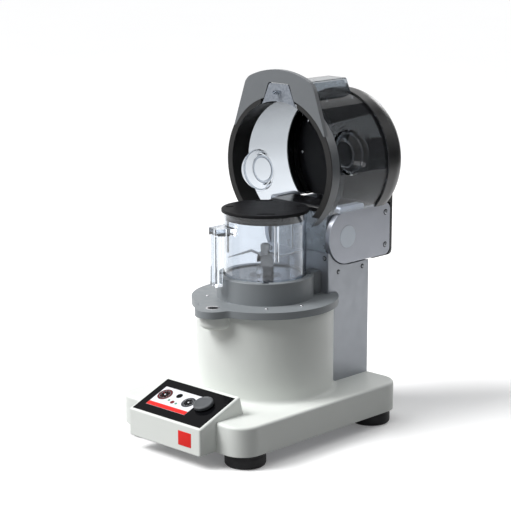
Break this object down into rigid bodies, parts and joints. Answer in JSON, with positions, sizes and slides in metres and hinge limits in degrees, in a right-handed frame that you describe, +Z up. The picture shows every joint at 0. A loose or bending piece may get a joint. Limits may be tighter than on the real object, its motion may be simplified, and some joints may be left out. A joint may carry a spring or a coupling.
{
  "type": "knife mill",
  "caption": "Bench-top knife mill: clear hinged hood standing open over a lidded clear vessel on its drive, sheet column behind, sloping touch console in front.",
  "frame": {"origin": "on the drive axis, at the level of the bench under the rubber feet", "axes": "+Z up, +X to the machine's right as seen by the user, +Y to the rear; the console faces -Y"},
  "size_m": [0.3, 0.4859, 0.613],
  "materials": {
    "white_moulding": "satin",
    "base_plate": "satin",
    "foot_rubber": "matt",
    "seal_rubber": "satin",
    "seat_casting": "fine textured paint",
    "column_paint": "satin",
    "cheek_casting": "satin paint",
    "hinge_casting": "satin paint",
    "pin_cap": "satin",
    "black_gloss": "gloss",
    "visor_grey": "satin",
    "clear_hood": "clear",
    "clear_vessel": "clear",
    "black_plastic": "satin",
    "blade_steel": "ground",
    "turned_steel": "satin",
    "screw_steel": "bright",
    "motor_iron": "bare",
    "fan_plastic": "matt",
    "panel_glass": "gloss",
    "display_white": "matt",
    "board_green": "satin",
    "encoder_body": "matt",
    "knob_grey": "satin",
    "tile_red": "satin",
    "rocker_black": "satin",
    "supply_grey": "satin"
  },
  "bodies": {
    "stand": {"base_plate": "base_plate", "bearings": "turned_steel", "coding_strip": "black_plastic", "column": "column_paint", "column_rear_cover": "column_paint", "column_rear_ledges": "column_paint", "column_screws": "screw_steel", "console": "white_moulding", "console_floor": "white_moulding", "control_board": "board_green", "display_module": "display_white", "encoder_body": "encoder_body", "feet": "foot_rubber", "foot_screws": "screw_steel", "front_tile": "tile_red", "hinge_block": "hinge_casting", "hinge_block_cap": "black_gloss", "hinge_pins": "turned_steel", "housing": "white_moulding", "knife_housing": "turned_steel", "lid_seal": "seal_rubber", "lock_module": "black_plastic", "lock_ring": "turned_steel", "locking_piece": "black_plastic", "motor_bracket": "base_plate", "motor_can": "motor_iron", "motor_stator": "motor_iron", "power_inlet": "black_plastic", "power_supply": "supply_grey", "seat_screws": "screw_steel", "shaft_seal": "seal_rubber", "touch_panel": "panel_glass", "vessel": "clear_vessel", "vessel_lid": "black_plastic", "vessel_seat": "seat_casting"},
    "rotor": {"knife_shaft": "turned_steel", "lower_blades": "blade_steel", "upper_blades": "blade_steel", "knife_spacer": "blade_steel", "knife_nut": "blade_steel", "drive_coupling": "turned_steel", "drive_shaft": "turned_steel", "motor_armature": "motor_iron", "cooling_fan": "fan_plastic"},
    "hood": {"cheek_left": "cheek_casting", "cheek_right": "cheek_casting", "pin_caps": "pin_cap", "cheek_screws": "screw_steel", "hood_drum": "clear_hood", "front_ring": "visor_grey", "ring_seal": "seal_rubber", "drum_rails": "cheek_casting", "back_cap": "black_gloss", "inner_plate": "black_gloss", "inner_plate_screws": "screw_steel"},
    "encoder": {"encoder_spindle": "turned_steel"},
    "knob": {"selector_knob": "knob_grey"},
    "rocker": {"power_switch": "rocker_black"}
  },
  "joints": [
    {"name": "hood_hinge", "type": "hinge", "parent": "stand", "child": "hood", "pos_m": [0, 0.125, 0.326], "axis": [1, 0, 0], "range_deg": [0, 90]},
    {"name": "drive_spin", "type": "hinge", "parent": "stand", "child": "rotor", "pos_m": [0, 0, 0.2], "axis": [0, 0, 1], "continuous": true},
    {"name": "knob_turn", "type": "hinge", "parent": "stand", "child": "encoder", "pos_m": [0.0475, -0.19232, 0.0892], "axis": [0, -0.3648, 0.9311], "continuous": true},
    {"name": "knob_press", "type": "slide", "parent": "encoder", "child": "knob", "axis": [0, 0.3648, -0.9311], "range_m": [0, 0.001], "stiffness_N_per_m": 800, "springref_m": -0.001},
    {"name": "switch_rock", "type": "hinge", "parent": "stand", "child": "rocker", "pos_m": [-0.093, 0.184, 0.049], "axis": [1, 0, 0], "range_deg": [0, 12]}
  ]
}
